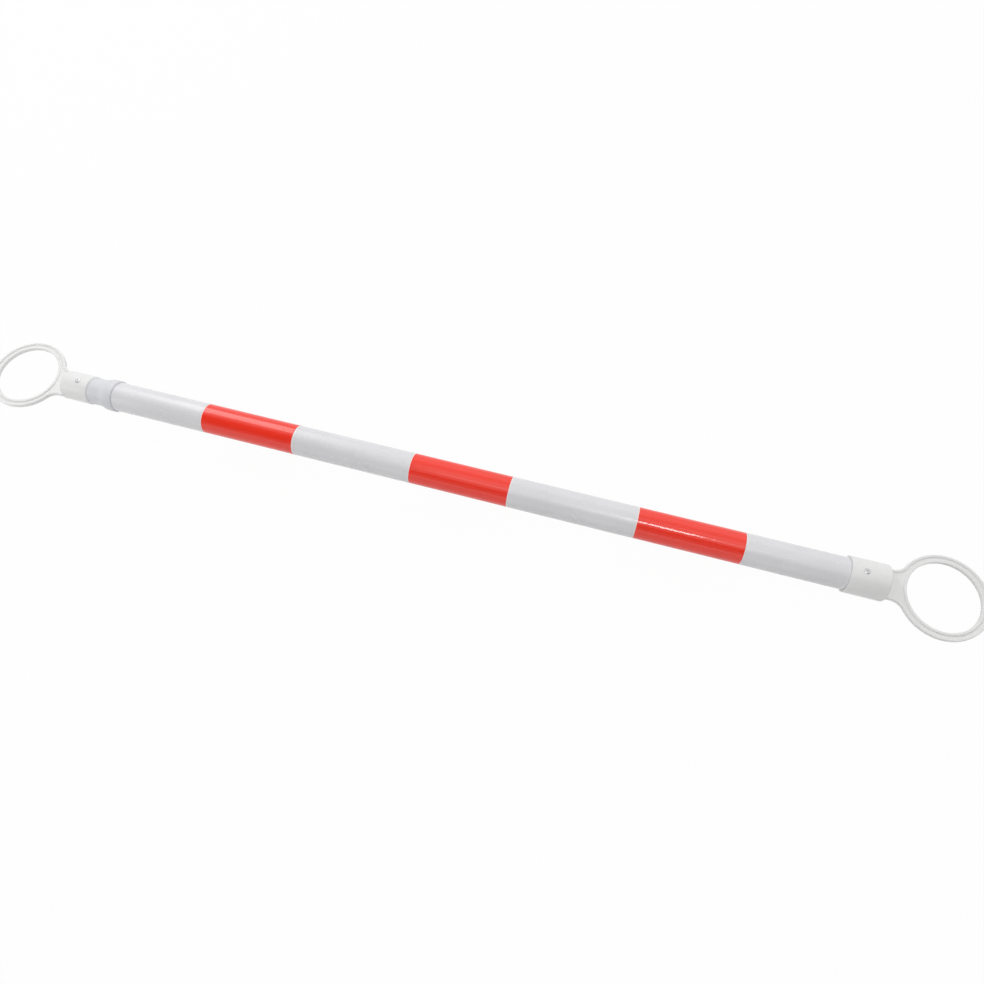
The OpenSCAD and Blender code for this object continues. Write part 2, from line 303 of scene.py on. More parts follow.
def mottle_group(name):
    """A colour that drifts towards another over a hand's width and again over a few millimetres."""
    tree, given, result = new_group(
        name,
        [("Colour", "NodeSocketColor", (1, 1, 1, 1)), ("Drift", "NodeSocketColor", (0.9, 0.9, 0.9, 1)),
         ("Broad", "NodeSocketFloat", 9.0), ("Fine", "NodeSocketFloat", 260.0)],
        [("Colour", "NodeSocketColor")],
    )
    place = object_place(tree)
    broad = noise(tree, place, given["Broad"], 2.0)
    fine = noise(tree, place, given["Fine"], 3.0)
    share = spread(tree, worked_out(tree, "ADD", broad, fine), 0.7, 1.4)
    tree.links.new(mixed(tree, share, given["Colour"], given["Drift"]), result["Colour"])
    return tree


def marks_group(name):
    """Rubbed patches and short scratches from handling, as a mask."""
    tree, given, result = new_group(
        name,
        [("Amount", "NodeSocketFloat", 0.3), ("Size", "NodeSocketFloat", 40.0)],
        [("Mask", "NodeSocketFloat")],
    )
    place = object_place(tree)
    rubbed = spread(tree, noise(tree, place, given["Size"], 5.0), 0.52, 0.78)
    slanted = {"Vector": place, "Rotation": (0.3, 0.5, 0.9), "Scale": (30, 900, 900)}
    strokes = {"Vector": add_node(tree, "ShaderNodeMapping", slanted).outputs["Vector"], "Scale": 1.0}
    gap = add_node(tree, "ShaderNodeTexVoronoi", strokes, feature="DISTANCE_TO_EDGE").outputs["Distance"]
    scratches = spread(tree, gap, 0.0, 0.05, 1.0, 0.0)
    crossed = worked_out(tree, "MULTIPLY_ADD", rubbed, scratches, rubbed)
    mask = worked_out(tree, "MULTIPLY", crossed, given["Amount"], use_clamp=True)
    tree.links.new(mask, result["Mask"])
    return tree


def edge_group(name):
    """Outer edges that hands and cones rub, and painted shade in inner corners, as two masks."""
    tree, given, result = new_group(
        name,
        [("Wear", "NodeSocketFloat", 0.5), ("Dirt", "NodeSocketFloat", 0.5)],
        [("Worn", "NodeSocketFloat"), ("Dirty", "NodeSocketFloat")],
    )
    point = add_node(tree, "ShaderNodeNewGeometry").outputs["Pointiness"]
    tree.links.new(spread(tree, point, 0.53, 0.62, 0.0, given["Wear"]), result["Worn"])
    # Painted shade: concave corners, where pointiness is low, get a darker colour.
    tree.links.new(spread(tree, point, 0.47, 0.38, 0.0, given["Dirt"]), result["Dirty"])
    return tree


GROUP_MAKERS = {
    "Grain": grain_group,
    "Mottle": mottle_group,
    "Handling marks": marks_group,
    "Edges": edge_group,
}


def place_group(tree, name, inputs):
    """Puts a shared group, built at its first use, into a material, and gives its output sockets."""
    shared = bpy.data.node_groups.get(name) or GROUP_MAKERS[name](name)
    return add_node(tree, "ShaderNodeGroup", inputs, node_tree=shared).outputs


# Finishes

# Shares of a finish's own colour: where it drifts, is marked or is worn, and where painted shade darkens
# its corners and holes
FILM_DRIFT_SHARE = 0.93
FILM_MARK_SHARE = 0.85
PLASTIC_DRIFT_SHARE = 0.95
PLASTIC_MARK_SHARE = 0.82
PLASTIC_WORN_SHARE = 1.06
PLASTIC_CORNER_SHADE_SHARE = 0.78
METAL_DRIFT_SHARE = 0.8
METAL_PIN_HOLE_SHADE_SHARE = 0.25

# Heights of what roughens a surface
RIPPLE_HEIGHT = 0.00025
BEAD_HEIGHT = 0.000004
DRAW_LINE_HEIGHT = 0.00002
MOULD_GRAIN_HEIGHT = 0.00001
METAL_GRAIN_HEIGHT = 0.00002

# Scales of the grain in mouldings, per metre
MOULD_GRAIN = 2600.0
RUBBER_GRAIN = 5000.0

# How much the beads show, how much a mark dulls a film, and how strongly clear plastics bend light
BEAD_STRENGTH = 0.5
MARK_ROUGHNESS = 0.3
FILM_IOR = 1.58
TUBE_IOR = 1.5


def opaque(rgb, share=1.0):
    """A colour as four numbers, made darker or lighter by a share."""
    return (*(min(1.0, part * share) for part in rgb), 1.0)


def new_material(name):
    """A material with a Principled shader: the material, its tree and its shader's inputs."""
    material = bpy.data.materials.new(name)
    material.use_nodes = True
    tree = material.node_tree
    return material, tree, tree.nodes["Principled BSDF"].inputs


def dress(tree, shader, face, roughness, normal):
    """Feeds a shader the colour, the roughness and the normal that change over the surface."""
    tree.links.new(face, shader["Base Color"])
    tree.links.new(roughness, shader["Roughness"])
    tree.links.new(normal, shader["Normal"])


def film_finish(name, rgb, smooth, rough):
    """Reflective film: beads under a clear glossy face, rippled a little where it was wrapped."""
    material, tree, shader = new_material(name)
    drift = place_group(
        tree, "Mottle",
        {"Colour": opaque(rgb), "Drift": opaque(rgb, FILM_DRIFT_SHARE), "Broad": 14.0, "Fine": 900.0},
    )
    marks = place_group(tree, "Handling marks", {"Amount": 0.25, "Size": 55.0})
    gloss = place_group(tree, "Grain", {"Along": 90.0, "Across": 140.0, "Smooth": smooth, "Rough": rough})
    ripple = place_group(tree, "Grain", {"Along": 60.0, "Across": 45.0})
    beads = place_group(tree, "Grain", {"Along": 6000.0, "Across": 6000.0})
    rippled = bumped(tree, ripple["Height"], RIPPLE_HEIGHT)
    dress(
        tree, shader,
        mixed(tree, marks["Mask"], drift["Colour"], opaque(rgb, FILM_MARK_SHARE)),
        worked_out(tree, "MULTIPLY_ADD", marks["Mask"], MARK_ROUGHNESS, gloss["Roughness"]),
        bumped(tree, beads["Height"], BEAD_HEIGHT, BEAD_STRENGTH, rippled),
    )
    shader["IOR"].default_value = FILM_IOR
    return material


def tube_finish(name, rgb):
    """Extruded plastic with faint draw lines along its length."""
    material, tree, shader = new_material(name)
    drift = place_group(
        tree, "Mottle",
        {"Colour": opaque(rgb), "Drift": opaque(rgb, PLASTIC_DRIFT_SHARE), "Broad": 8.0, "Fine": 300.0},
    )
    marks = place_group(tree, "Handling marks", {"Amount": 0.3, "Size": 45.0})
    lines = place_group(tree, "Grain", {"Along": 6.0, "Across": 1400.0, "Smooth": 0.16, "Rough": 0.3})
    dress(
        tree, shader,
        mixed(tree, marks["Mask"], drift["Colour"], opaque(rgb, PLASTIC_MARK_SHARE)),
        lines["Roughness"],
        bumped(tree, lines["Height"], DRAW_LINE_HEIGHT),
    )
    shader["IOR"].default_value = TUBE_IOR
    return material


def moulded_finish(name, rgb, smooth, rough, grain=MOULD_GRAIN):
    """Satin moulded plastic: a fine grain, rubbed outer edges and a little painted shade in the corners.
    """
    material, tree, shader = new_material(name)
    drift = place_group(
        tree, "Mottle",
        {"Colour": opaque(rgb), "Drift": opaque(rgb, PLASTIC_DRIFT_SHARE), "Broad": 22.0, "Fine": 420.0},
    )
    edges = place_group(tree, "Edges", {"Wear": 0.3, "Dirt": 0.08})
    skin = place_group(tree, "Grain", {"Along": grain, "Across": grain, "Smooth": smooth, "Rough": rough})
    worn = mixed(tree, edges["Worn"], drift["Colour"], opaque(rgb, PLASTIC_WORN_SHARE))
    # Painted shade darkens the colour in the inner corners of the rims and channels.
    dress(
        tree, shader,
        mixed(tree, edges["Dirty"], worn, opaque(rgb, PLASTIC_CORNER_SHADE_SHARE)),
        skin["Roughness"],
        bumped(tree, skin["Height"], MOULD_GRAIN_HEIGHT),
    )
    return material


def rivet_finish(name, rgb):
    """Dull drawn metal, with painted shade that darkens the pin hole."""
    material, tree, shader = new_material(name)
    drift = place_group(
        tree, "Mottle",
        {"Colour": opaque(rgb), "Drift": opaque(rgb, METAL_DRIFT_SHARE), "Broad": 300.0, "Fine": 2500.0},
    )
    edges = place_group(tree, "Edges", {"Dirt": 0.9})
    skin = place_group(tree, "Grain", {"Along": 2200.0, "Across": 2200.0, "Smooth": 0.28, "Rough": 0.5})
    # Painted shade: the pin hole and the corner under the head get a darker colour.
    dress(
        tree, shader,
        mixed(tree, edges["Dirty"], drift["Colour"], opaque(rgb, METAL_PIN_HOLE_SHADE_SHARE)),
        skin["Roughness"],
        bumped(tree, skin["Height"], METAL_GRAIN_HEIGHT),
    )
    shader["Metallic"].default_value = 1.0
    return material


# Finish of each slot: its maker, name and colour, then how smooth and how rough it is, and its grain
FINISHES = {
    "tube_white": (tube_finish, "Extruded white", "tube_white"),
    "sheet_white": (film_finish, "White film", "film_white", 0.2, 0.28),
    "sheet_red": (film_finish, "Red film", "film_red", 0.05, 0.1),
    "moulding_white": (moulded_finish, "Moulded white", "moulded_white", 0.3, 0.42),
    "collar_grey": (moulded_finish, "Collar grey", "collar_grey", 0.34, 0.5),
    "bearing_ivory": (moulded_finish, "Bearing ivory", "bearing_ivory", 0.35, 0.5),
    "plug_grey": (moulded_finish, "Plug grey", "plug_grey", 0.4, 0.55),
    "brake_rubber": (moulded_finish, "Brake rubber", "brake_black", 0.6, 0.8, RUBBER_GRAIN),
    "rivet_metal": (rivet_finish, "Rivet metal", "rivet_metal"),
}


def finish_of(slot, colours):
    """The finish of one of the record's material slots, made at its first use."""
    maker, name, colour_name, *surface = FINISHES[slot]
    return bpy.data.materials.get(name) or maker(name, getattr(colours, colour_name), *surface)


# Ways to make a shape

# Part of a film's lap that climbs onto its start, and of a socket's end wall that the neck reaches into
LAP_CLIMB_SHARE = 0.25
NECK_REACH_SHARE = 0.75


def along_bar(node):
    """Where a round node starts and ends along the bar, and its radius."""
    low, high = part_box(node)
    return low.x, high.x, high.z


def verts_in(parts):
    """The vertices among parts of a mesh."""
    return [part for part in parts if isinstance(part, bmesh.types.BMVert)]


def edges_in(parts):
    """The edges among parts of a mesh."""
    return [part for part in parts if isinstance(part, bmesh.types.BMEdge)]


def everything(bm):
    """All vertices, edges and faces."""
    return bm.verts[:] + bm.edges[:] + bm.faces[:]


def close_shell(bm):
    """Merges what meets and turns every face outwards."""
    bmesh.ops.remove_doubles(bm, verts=bm.verts, dist=MERGE_DISTANCE)
    bmesh.ops.recalc_face_normals(bm, faces=bm.faces)


def spin_shell(bm, section, steps=TURN_STEPS):
    """Spins a section once round the bar's axis, to a closed shell."""
    bmesh.ops.spin(
        bm, geom=section, cent=ORIGIN, axis=AXIS, angle=math.tau, steps=steps, use_merge=True
    )
    close_shell(bm)


def turned(outline, steps=TURN_STEPS):
    """A closed shell, spun from (x, radius) points that may start and end on the bar's axis."""
    bm = bmesh.new()
    verts = [bm.verts.new((x, 0.0, radius)) for x, radius in outline]
    ends = verts[1:] if outline[0][1] == 0 else verts[1:] + verts[:1]
    edges = [bm.edges.new(pair) for pair in zip(verts, ends)]
    spin_shell(bm, verts + edges, steps)
    return bm


def round_edges(bm, radius, keep=None, segments=ROUND_SEGMENTS, sharper=SHARP_ANGLE):
    """Rounds the edges that are sharper than an angle, or those among them that a test keeps."""
    sharp = [
        edge for edge in bm.edges
        if edge.is_manifold and edge.calc_face_angle() > sharper and (keep is None or keep(edge))
    ]
    bmesh.ops.bevel(
        bm, geom=sharp, offset=radius, offset_type="OFFSET", affect="EDGES", segments=segments,
        profile=0.5, material=-1, clamp_overlap=True,
    )


def extruded_edges(bm, edges, move):
    """Draws a wall from edges by a move, and gives back its far edges."""
    drawn = bmesh.ops.extrude_edge_only(bm, edges=edges)["geom"]
    far = set(verts_in(drawn))
    bmesh.ops.transform(bm, matrix=move, verts=list(far))
    return [edge for edge in edges_in(drawn) if far.issuperset(edge.verts)]


def mesh_object(bm, name):
    """A linked object that takes over the mesh."""
    mesh = bpy.data.meshes.new(name)
    bm.to_mesh(mesh)
    bm.free()
    piece = bpy.data.objects.new(name, mesh)
    bpy.context.scene.collection.objects.link(piece)
    return piece


def joined(first, second):
    """One shell of two closed shells that cross, without needle faces or spare vertices."""
    body = mesh_object(first, "joining_body")
    other = mesh_object(second, "joining_other")
    union = body.modifiers.new("Union", "BOOLEAN")
    union.operation = "UNION"
    union.solver = "EXACT"
    union.object = other
    bpy.context.view_layer.update()
    seen = body.evaluated_get(bpy.context.evaluated_depsgraph_get())
    result = bmesh.new()
    result.from_mesh(seen.to_mesh())
    seen.to_mesh_clear()
    bmesh.ops.dissolve_degenerate(result, dist=NEEDLE_WIDTH, edges=result.edges)
    spare = [vert for vert in result.verts if len(vert.link_edges) == 2]
    bmesh.ops.dissolve_verts(result, verts=spare)
    for spent in (body, other):
        mesh = spent.data
        bpy.data.objects.remove(spent)
        bpy.data.meshes.remove(mesh)
    return result


def add_piece(context, bm, name, node):
    """Makes a finished piece that stands for a node, on that node's body and with its slot's finish."""
    if not bm.faces:
        raise RuntimeError(f"{name} has no faces")
    piece = mesh_object(bm, name)
    piece.data.shade_smooth()
    piece.data.set_sharp_from_angle(angle=SHARP_ANGLE)
    piece.data.materials.append(finish_of(SLOT_OF[node], context.scene.cone_bar_colours))
    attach(piece, BODY_OF[node])
    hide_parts(node)


# Shapes of the pieces


def plain_tube(node, wall, sizes):
    """A tube with its end edges rounded."""
    start, end, radius = along_bar(node)
    bm = turned([(start, radius), (end, radius), (end, radius - wall), (start, radius - wall)])
    round_edges(bm, sizes.turned_round)
    return bm


def film_sheet(node, sizes):
    """A film wrapped once round the tube, with its end lapped over its start underneath."""
    start, end, radius = along_bar(node)
    inside = radius - sizes.film_thickness
    lift = 1 + (sizes.film_thickness + sizes.film_glue) / inside
    lap_angle = sizes.film_lap / radius
    climb_angle = lap_angle * LAP_CLIMB_SHARE
    bm = bmesh.new()
    first = [bm.verts.new((x, 0.0, -inside)) for x in (start, end)]
    edge = bm.edges.new(first)
    wrapped = bmesh.ops.spin(
        bm, geom=[*first, edge], cent=ORIGIN, axis=AXIS, angle=math.tau - climb_angle, steps=TURN_STEPS
    )
    climb = Matrix.Diagonal((1.0, lift, lift, 1.0)) @ Matrix.Rotation(climb_angle, 4, "X")
    top = extruded_edges(bm, edges_in(wrapped["geom_last"]), climb)
    bmesh.ops.spin(
        bm, geom=[*top[0].verts, *top], cent=ORIGIN, axis=AXIS, angle=lap_angle, steps=LAP_STEPS
    )

    # Faces point away from the tube before the film gets its thickness
    for face in bm.faces:
        centre = face.calc_center_median()
        if face.normal.dot(Vector((0.0, centre.y, centre.z))) < 0:
            face.normal_flip()
    bmesh.ops.solidify(bm, geom=bm.faces[:], thickness=-sizes.film_thickness)
    bmesh.ops.recalc_face_normals(bm, faces=bm.faces)
    return bm


def stepped_collar(sizes):
    """The collar: a narrow waist, a rounded slope, and a wide end that takes the outer tube."""
    node_start, end, wide_r = along_bar("reducing_collar")
    step, _, tube_r = along_bar("collar_guide_ring")
    start = node_start - sizes.collar_reach
    slope = node_start + sizes.collar_waist_length
    slope_end = slope + sizes.collar_slope_length
    waist_r = sizes.collar_waist_d / 2
    bore_r = sizes.collar_bore_d / 2
    bm = turned([
        (start, bore_r),
        (start, waist_r),
        (slope, waist_r),
        (slope_end, wide_r),
        (end, wide_r),
        (end, tube_r),
        (step, tube_r),
        (step, bore_r),
    ])

    def at_slope_end(edge):
        x = edge.verts[0].co.x
        return min(abs(x - slope), abs(x - slope_end)) < MERGE_DISTANCE

    def at_start(edge):
        return edge.verts[0].co.x < start + MERGE_DISTANCE

    def at_lip(edge):
        place = edge.verts[0].co
        return place.x > end - MERGE_DISTANCE and place.yz.length > tube_r + MERGE_DISTANCE

    round_edges(bm, sizes.collar_slope_round, at_slope_end, SLOPE_SEGMENTS, SLOPE_ANGLE)
    round_edges(bm, sizes.turned_round, at_start)
    round_edges(bm, sizes.collar_lip_round, at_lip)
    return bm


def ring_plate(hole_r, rim_top, ring_r, neck_half, neck_end, sizes):
    """A ring with its neck, round the origin and towards +X: two rims with a channel on both faces."""
    inner_r = hole_r + sizes.inner_rim
    floor = sizes.ring_web / 2
    fillet_y = neck_half + sizes.neck_fillet
    fillet_x = math.sqrt((ring_r + sizes.neck_fillet) ** 2 - fillet_y**2)
    meeting = math.atan2(fillet_y, fillet_x)
    bm = bmesh.new()

    # Half of the outline, from the far side of the ring to the end of the neck
    point = bm.verts.new((-ring_r, 0.0, rim_top))
    arcs = (
        (ORIGIN, meeting - math.pi, RING_STEPS),
        ((fillet_x, fillet_y, 0.0), math.pi / 2 - meeting, FILLET_STEPS),
    )
    for centre, angle, steps in arcs:
        arc = bmesh.ops.spin(bm, geom=[point], cent=centre, axis=UPRIGHT, angle=angle, steps=steps)
        point = verts_in(arc["geom_last"])[0]
    long_end = neck_end + sizes.neck_spare
    end = bm.verts.new((long_end, neck_half, rim_top))
    bm.edges.new((point, end))
    bmesh.ops.mirror(bm, geom=bm.verts[:] + bm.edges[:], axis="Y", merge_dist=MERGE_DISTANCE)
    bm.edges.new([vert for vert in bm.verts if vert.co.x > long_end - MERGE_DISTANCE])
    top = bmesh.ops.contextual_create(bm, geom=bm.edges[:])["faces"]

    # The outer rim, the channel and its floor
    bmesh.ops.inset_region(
        bm, faces=top, thickness=sizes.outer_rim, use_boundary=True, use_even_offset=True
    )
    outline = [edge for edge in bm.edges if edge.is_boundary]
    sunk = bmesh.ops.extrude_face_region(bm, geom=top)["geom"]
    bmesh.ops.translate(bm, verts=verts_in(sunk), vec=(0.0, 0.0, floor - rim_top))
    floor_face = next(part for part in sunk if isinstance(part, bmesh.types.BMFace))
    floor_edges = floor_face.edges[:]
    inside = [floor_face] + [face for face in top if face.is_valid]
    bmesh.ops.delete(bm, geom=inside, context="FACES_ONLY")

    # The inner rim and the hole
    circle = bmesh.ops.create_circle(
        bm, segments=2 * RING_STEPS, radius=inner_r, matrix=Matrix.Translation((0.0, 0.0, floor))
    )["verts"]
    rim = list({edge for vert in circle for edge in vert.link_edges})
    bmesh.ops.triangle_fill(bm, use_beauty=True, edges=floor_edges + rim, normal=UPRIGHT)
    shrink = hole_r / inner_r
    for move in (
        Matrix.Translation((0.0, 0.0, rim_top - floor)),
        Matrix.Diagonal((shrink, shrink, 1.0, 1.0)),
        Matrix.Translation((0.0, 0.0, -rim_top)),
    ):
        rim = extruded_edges(bm, rim, move)
    extruded_edges(bm, outline, Matrix.Translation((0.0, 0.0, -rim_top)))

    # The under side, the rounded edges, and the neck cut off square
    bmesh.ops.mirror(bm, geom=everything(bm), axis="Z", merge_dist=MERGE_DISTANCE)
    close_shell(bm)
    round_edges(bm, sizes.moulded_round)
    cut = bmesh.ops.bisect_plane(
        bm, geom=everything(bm), dist=MERGE_DISTANCE, plane_co=(neck_end, 0.0, 0.0), plane_no=AXIS,
        clear_outer=True,
    )["geom_cut"]
    bmesh.ops.edgeloop_fill(bm, edges=edges_in(cut))
    close_shell(bm)
    return bm


def ring_socket(end, seat, mouth, radius, bevel, sizes):
    """A socket along +X: the flat end that closes it towards the ring, the tube's seat, and the mouth."""
    bore_r = radius - sizes.socket_wall
    bm = turned([
        (end, 0.0),
        (end, radius),
        (mouth - bevel, radius),
        (mouth, radius - bevel),
        (mouth, bore_r),
        (seat, bore_r),
        (seat, 0.0),
    ])

    def at_end(edge):
        return edge.verts[0].co.x < seat - MERGE_DISTANCE

    def at_mouth(edge):
        return edge.verts[0].co.x > mouth - bevel / 2

    round_edges(bm, sizes.socket_end_round, at_end, SOCKET_END_SEGMENTS)
    round_edges(bm, sizes.turned_round, at_mouth)
    return bm


def ring_end(node, mount_name, tube_end, bevel, sizes):
    """A moulded ring end, in place: the frame gives its ring, its hole, its socket and its tube."""
    mount = RING_MOUNT[mount_name]
    low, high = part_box(node)
    thin_socket_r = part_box("sliding_ring_end")[1].z
    ring_x = mount["pos_m"][0]
    hole_r = mount["dims"]["r_mm"] * MILLIMETRE
    rim_top = mount["dims"]["length_mm"] * MILLIMETRE / 2
    mouth_x, far_x = (high.x, low.x) if ring_x < 0 else (low.x, high.x)
    ring_r = min(abs(far_x - ring_x), high.y)
    neck_half = math.sqrt((thin_socket_r - sizes.neck_sink) ** 2 - rim_top**2)

    # Made along +X from the ring's middle
    seat = abs(tube_end - ring_x)
    socket_end = seat - sizes.socket_end
    neck_end = socket_end + sizes.socket_end * NECK_REACH_SHARE
    bm = joined(
        ring_plate(hole_r, rim_top, ring_r, neck_half, neck_end, sizes),
        ring_socket(socket_end, seat, abs(mouth_x - ring_x), high.z, bevel, sizes),
    )

    # Turned towards its tube and put in place
    if ring_x > 0:
        bmesh.ops.rotate(bm, verts=bm.verts, cent=ORIGIN, matrix=Matrix.Rotation(math.pi, 3, "Z"))
    bmesh.ops.translate(bm, verts=bm.verts, vec=(ring_x, 0.0, 0.0))
    return bm


def blind_rivet(sizes):
    """A blind rivet along +X, with its head's seat at the origin."""
    head_r = sizes.rivet_head_d / 2
    head_h = sizes.rivet_head_h
    pin_r = sizes.rivet_pin_d / 2
    shank_r = sizes.rivet_shank_d / 2
    bulb_r = sizes.rivet_bulb_d / 2
    bulb_x = -sizes.rivet_grip
    end_x = bulb_x - sizes.rivet_bulb_length
    bm = turned([
        (0.0, 0.0),
        (0.0, pin_r),
        (head_h, pin_r),
        (head_h, (head_r + pin_r) / 2),
        (head_h / 2, head_r),
        (0.0, head_r),
        (0.0, shank_r),
        (bulb_x, shank_r),
        (bulb_x, bulb_r),
        ((bulb_x + end_x) / 2, bulb_r),
        (end_x, shank_r),
        (end_x, 0.0),
    ], RIVET_STEPS)
    round_edges(bm, sizes.turned_round)
    return bm


def rivet_pair(node, sizes):
    """The rivets of a socket, above and below."""
    low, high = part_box(node)
    pair = bmesh.new()
    for turn in (-math.pi / 2, math.pi / 2):
        rivet = blind_rivet(sizes)
        bmesh.ops.translate(rivet, verts=rivet.verts, vec=(high.z - sizes.rivet_head_h, 0.0, 0.0))
        bmesh.ops.rotate(rivet, verts=rivet.verts, cent=ORIGIN, matrix=Matrix.Rotation(turn, 3, "Y"))
        bmesh.ops.translate(rivet, verts=rivet.verts, vec=((low.x + high.x) / 2, 0.0, 0.0))
        one = bpy.data.meshes.new("one_rivet")
        rivet.to_mesh(one)
        rivet.free()
        pair.from_mesh(one)
        bpy.data.meshes.remove(one)
    return pair


def stop_plug(sizes):
    """The plug: a spigot in the inner tube, the stop flange, and a tail that the bush turns on."""
    start, end, flange_r = along_bar("stop_plug")
    bush_start, bush_end, _ = along_bar("guide_bush")
    tube_end = along_bar("inner_tube")[1]
    flange_end = tube_end + sizes.plug_flange
    seat_start = bush_start - sizes.end_play
    seat_end = bush_end + sizes.end_play
    bore_r = sizes.plug_bore_d / 2
    spigot_r = sizes.plug_spigot_d / 2
    tail_r = sizes.plug_tail_d / 2
    seat_r = sizes.bush_bore_d / 2 - sizes.turn_fit
    keeper_r = sizes.bush_groove_d / 2
    bm = turned([
        (start, bore_r),
        (start, spigot_r),
        (tube_end, spigot_r),
        (tube_end, flange_r),
        (flange_end, flange_r),
        (flange_end, tail_r),
        (seat_start, tail_r),
        (seat_start, seat_r),
        (seat_end, seat_r),
        (seat_end, keeper_r),
        (end, keeper_r),
        (end, bore_r),
    ])
    round_edges(bm, sizes.turned_round)
    return bm


def guide_bush(sizes):
    """The bush that slides in the outer tube, with a groove for the brake ring."""
    start, end, radius = along_bar("guide_bush")
    brake_start, brake_end, _ = along_bar("brake_ring")
    bore_r = sizes.bush_bore_d / 2
    groove_r = sizes.bush_groove_d / 2
    bm = turned([
        (start, bore_r),
        (start, radius),
        (brake_start, radius),
        (brake_start, groove_r),
        (brake_end, groove_r),
        (brake_end, radius),
        (end, radius),
        (end, bore_r),
    ])
    round_edges(bm, sizes.turned_round)
    return bm


def brake_ring():
    """A round rubber cord, closed to a ring."""
    start, end, radius = along_bar("brake_ring")
    cord_r = (end - start) / 2
    bm = bmesh.new()
    section = bmesh.ops.create_circle(bm, segments=CORD_STEPS, radius=cord_r)["verts"]
    place = Matrix.Translation(((start + end) / 2, 0.0, radius - cord_r))
    bmesh.ops.transform(bm, matrix=place @ Matrix.Rotation(math.pi / 2, 4, "X"), verts=section)
    spin_shell(bm, bm.verts[:] + bm.edges[:])
    return bm


# Studio

# White light, half the floor's width, and its depth under the bar as a share of a ring's radius
WHITE = (1.0, 1.0, 1.0, 1.0)
FLOOR_HALF = 9.0
FLOOR_DEPTH_SHARE = 1.12

# Cards that hold back light or that the glossy films mirror: name, place, turn, half sizes, grey
DARK_CARDS = (
    ("front_card", (0.45, -1.33, 1.3), (90, 0, 14), (2.4, 0.8), 0.42),
    ("ceiling_card", (-1.6, -1.0, 1.6), (0, 0, 0), (0.95, 0.9), 0.42),
    ("right_card", (1.25, -0.75, 0.55), (90, 0, 60), (0.6, 0.6), 0.1),
)
CARD_ROUGHNESS = 0.9

# Lamps: name, setting of its brightness, place, size, and what it faces unless that is the floor
LAMPS = (
    ("Overhead panel", "overhead", (0.2, -0.035, 1.5), (1.2, 1.07), None),
    ("Back panel", "back", (0.4, 1.55, 1.0), (2.0, 1.1), (0.1, 0.0, 0.0)),
    ("Side panel", "side", (-1.17, 0.98, 1.22), (0.6, 1.05), (-1.17, 0.0, 0.0)),
    ("Side glow", "side_glow", (-1.18, 1.0, 1.24), (1.0, 1.6), (-1.18, 0.0, 0.0)),
    ("Left fill", "left_fill", (-0.79, -0.29, 0.2), (0.24, 0.24), (-0.45, 0.0, 0.0)),
    ("Front fill", "front_fill", (0.0, -1.0, 0.4), (2.2, 0.6), ORIGIN),
    ("Strip lamp", "strip", (0.2, -0.33, 1.49), (1.1, 0.2), None),
    ("Small softbox", "spot", (0.4, -0.335, 1.48), (0.22, 0.22), None),
)

# Camera's frame in millimetres, and how near it sees
SENSOR_WIDTH = 36.0
NEAREST_SEEN = 0.01


def seen_as_backdrop(tree):
    """1 for the rays that show the background: straight to the camera, mirrored or through glass."""
    path = add_node(tree, "ShaderNodeLightPath").outputs
    either = path["Is Camera Ray"]
    for other in ("Is Glossy Ray", "Is Transmission Ray"):
        either = worked_out(tree, "MAXIMUM", either, path[other])
    return either


def emptied_tree(owner):
    """The node tree of a material or a world, without the nodes that it starts with."""
    owner.use_nodes = True
    owner.node_tree.nodes.clear()
    return owner.node_tree


def add_floor(rgb, white_share):
    """A wide pale floor, low enough for a ring to turn above it, that keeps a soft shadow."""
    ring_r = CAD_BOUNDS[1].y
    bm = bmesh.new()
    bmesh.ops.create_grid(bm, x_segments=1, y_segments=1, size=FLOOR_HALF)
    bmesh.ops.translate(bm, verts=bm.verts, vec=(0.0, 0.0, -ring_r * FLOOR_DEPTH_SHARE))
    floor = mesh_object(bm, "studio_floor")
    material = bpy.data.materials.new("Pale floor")
    tree = emptied_tree(material)
    paint = add_node(tree, "ShaderNodeBsdfDiffuse", {"Color": opaque(rgb)}).outputs["BSDF"]
    white = add_node(tree, "ShaderNodeEmission", {"Color": WHITE, "Strength": 1.0}).outputs["Emission"]
    share = worked_out(tree, "MULTIPLY", seen_as_backdrop(tree), white_share)
    mix = add_node(tree, "ShaderNodeMixShader", {0: share, 1: paint, 2: white})
    add_node(tree, "ShaderNodeOutputMaterial", {"Surface": mix.outputs["Shader"]})
    floor.data.materials.append(material)


def add_card(name, place, turn_degrees, half_sizes, grey):
    """A dark card outside the picture."""
    bm = bmesh.new()
    bmesh.ops.create_grid(bm, x_segments=1, y_segments=1, size=1.0)
    turn = Euler([math.radians(angle) for angle in turn_degrees]).to_matrix().to_4x4()
    stand = Matrix.Translation(place) @ turn
    bmesh.ops.transform(bm, matrix=stand @ Matrix.Diagonal((*half_sizes, 1.0, 1.0)), verts=bm.verts)
    card = mesh_object(bm, name)
    material, _, shader = new_material(name)
    shader["Base Color"].default_value = opaque((grey, grey, grey))
    shader["Roughness"].default_value = CARD_ROUGHNESS
    card.data.materials.append(material)
    card.visible_camera = False


def add_lamp(name, face_radiance, place, size, target):
    """A rectangular lamp that faces down, or faces a target."""
    data = bpy.data.lights.new(name, "AREA")
    data.shape = "RECTANGLE"
    width, depth = size
    data.size = width
    data.size_y = depth
    data.energy = face_radiance * math.pi * width * depth
    lamp = bpy.data.objects.new(name, data)
    lamp.location = place
    if target is not None:
        lamp.rotation_euler = (Vector(target) - Vector(place)).to_track_quat("-Z", "Y").to_euler()
    lamp.visible_camera = False
    bpy.context.scene.collection.objects.link(lamp)


